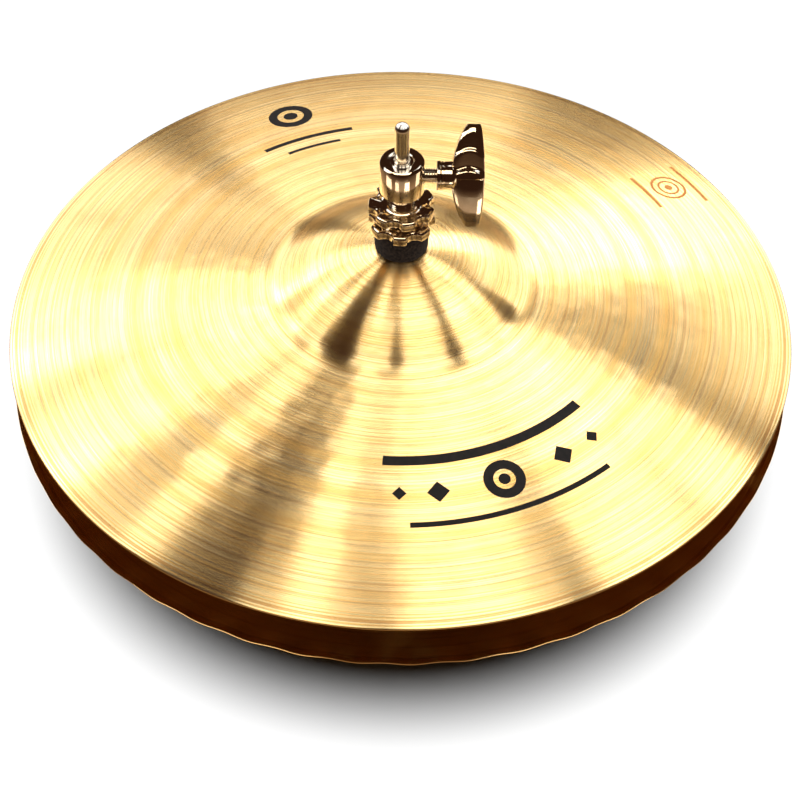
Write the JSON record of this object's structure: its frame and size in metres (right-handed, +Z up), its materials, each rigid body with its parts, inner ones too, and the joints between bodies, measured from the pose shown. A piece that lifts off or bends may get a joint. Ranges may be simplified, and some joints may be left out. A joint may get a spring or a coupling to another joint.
{
  "type": "hi hat",
  "caption": "Facing pair of hi-hat cymbals on a pull rod, with a clutch that clamps the upper one and a tilting seat for the lower one.",
  "frame": {"origin": "centre of the mouth of the seat's socket, on the axis of the rod and both cymbals", "axes": "+Z up along the pull rod, +X towards the clutch's wing bolt, the tilt screw at -X"},
  "size_m": [0.33, 0.33, 0.2502],
  "materials": {
    "bronze": "lathed and hammered, satin",
    "chrome": "polished",
    "steel": "bright drawn",
    "black_felt": "pressed wool felt",
    "nylon": "satin",
    "brass_fitting": "turned",
    "black_plastic": "moulded"
  },
  "bodies": {
    "seat_base": {"tube_socket": "chrome", "rod_bushing": "brass_fitting", "seat_cup": "chrome", "seat_sleeve": "nylon"},
    "socket_screw": {"socket_screw": "steel"},
    "tilt_foot": {"tilt_foot": "brass_fitting"},
    "tilt_screw": {"tilt_screw": "steel", "tilt_knob": "black_plastic"},
    "seat_plate": {"seat_plate": "chrome", "seat_felt": "black_felt"},
    "bottom_cymbal": {"bottom_cymbal": "bronze"},
    "pull_rod": {"pull_rod": "steel"},
    "clutch": {"clutch_barrel": "chrome", "threaded_sleeve": "chrome"},
    "clamp_washer": {"clamp_washer": "chrome"},
    "wing_bolt": {"clamp_screw": "steel", "wing_handle": "chrome"},
    "upper_nut": {"upper_lock_nut": "chrome"},
    "lower_nut": {"lower_lock_nut": "chrome"},
    "felts": {"upper_felt": "black_felt", "lower_felt": "black_felt"},
    "top_cymbal": {"top_cymbal": "bronze"},
    "bottom_nut": {"clutch_bottom_nut": "chrome"}
  },
  "joints": [
    {"name": "rod_slide", "type": "slide", "parent": "seat_base", "child": "pull_rod", "axis": [0, 0, 1], "range_m": [-0.0196, 0], "stiffness_N_per_m": 600, "springref_m": 0.03},
    {"name": "clutch_height", "type": "slide", "parent": "pull_rod", "child": "clutch", "axis": [0, 0, 1], "range_m": [0, 0.015]},
    {"name": "wing_travel", "type": "slide", "parent": "clutch", "child": "clamp_washer", "axis": [1, 0, 0], "range_m": [0, 0.003]},
    {"name": "wing_turn", "type": "hinge", "parent": "clamp_washer", "child": "wing_bolt", "pos_m": [0.018, 0, 0.18344], "axis": [1, 0, 0], "range_deg": [0, 1085]},
    {"name": "upper_nut_turn", "type": "hinge", "parent": "clutch", "child": "upper_nut", "pos_m": [0, 0, 0.16], "axis": [0, 0, 1], "range_deg": [0, 720]},
    {"name": "lower_nut_turn", "type": "hinge", "parent": "clutch", "child": "lower_nut", "pos_m": [0, 0, 0.157], "axis": [0, 0, 1], "range_deg": [0, 720]},
    {"name": "bottom_nut_turn", "type": "hinge", "parent": "clutch", "child": "bottom_nut", "pos_m": [0, 0, 0.133], "axis": [0, 0, 1], "range_deg": [0, 720]},
    {"name": "cymbal_spin", "type": "hinge", "parent": "clutch", "child": "felts", "pos_m": [0, 0, 0.145], "axis": [0, 0, 1], "continuous": true},
    {"name": "cymbal_rock", "type": "hinge", "parent": "felts", "child": "top_cymbal", "pos_m": [0, 0, 0.1447], "axis": [0, 1, 0], "range_deg": [0, 2.5], "deforming": ["upper_felt", "lower_felt"]},
    {"name": "cymbal_tilt", "type": "hinge", "parent": "seat_base", "child": "seat_plate", "pos_m": [0.0195, 0, 0.0281], "axis": [0, 1, 0], "range_deg": [0, 2.5]},
    {"name": "bottom_spin", "type": "hinge", "parent": "seat_plate", "child": "bottom_cymbal", "pos_m": [0, 0, 0.038], "axis": [0, 0, 1], "continuous": true},
    {"name": "tilt_travel", "type": "slide", "parent": "seat_base", "child": "tilt_foot", "axis": [0, 0, 1], "range_m": [0, 0.00165]},
    {"name": "tilt_turn", "type": "hinge", "parent": "tilt_foot", "child": "tilt_screw", "pos_m": [-0.0175, 0, 0.02], "axis": [0, 0, 1], "range_deg": [0, 740]},
    {"name": "socket_screw_turn", "type": "hinge", "parent": "seat_base", "child": "socket_screw", "pos_m": [0.012, 0, 0.009], "axis": [1, 0, 0], "range_deg": [0, 720]}
  ],
  "couplings": [
    {"joint": "wing_turn", "follows": "wing_travel", "rad_per_m": 6283.2},
    {"joint": "tilt_travel", "follows": "cymbal_tilt", "m_per_rad": 0.037},
    {"joint": "tilt_turn", "follows": "cymbal_tilt", "ratio": 290.6}
  ]
}
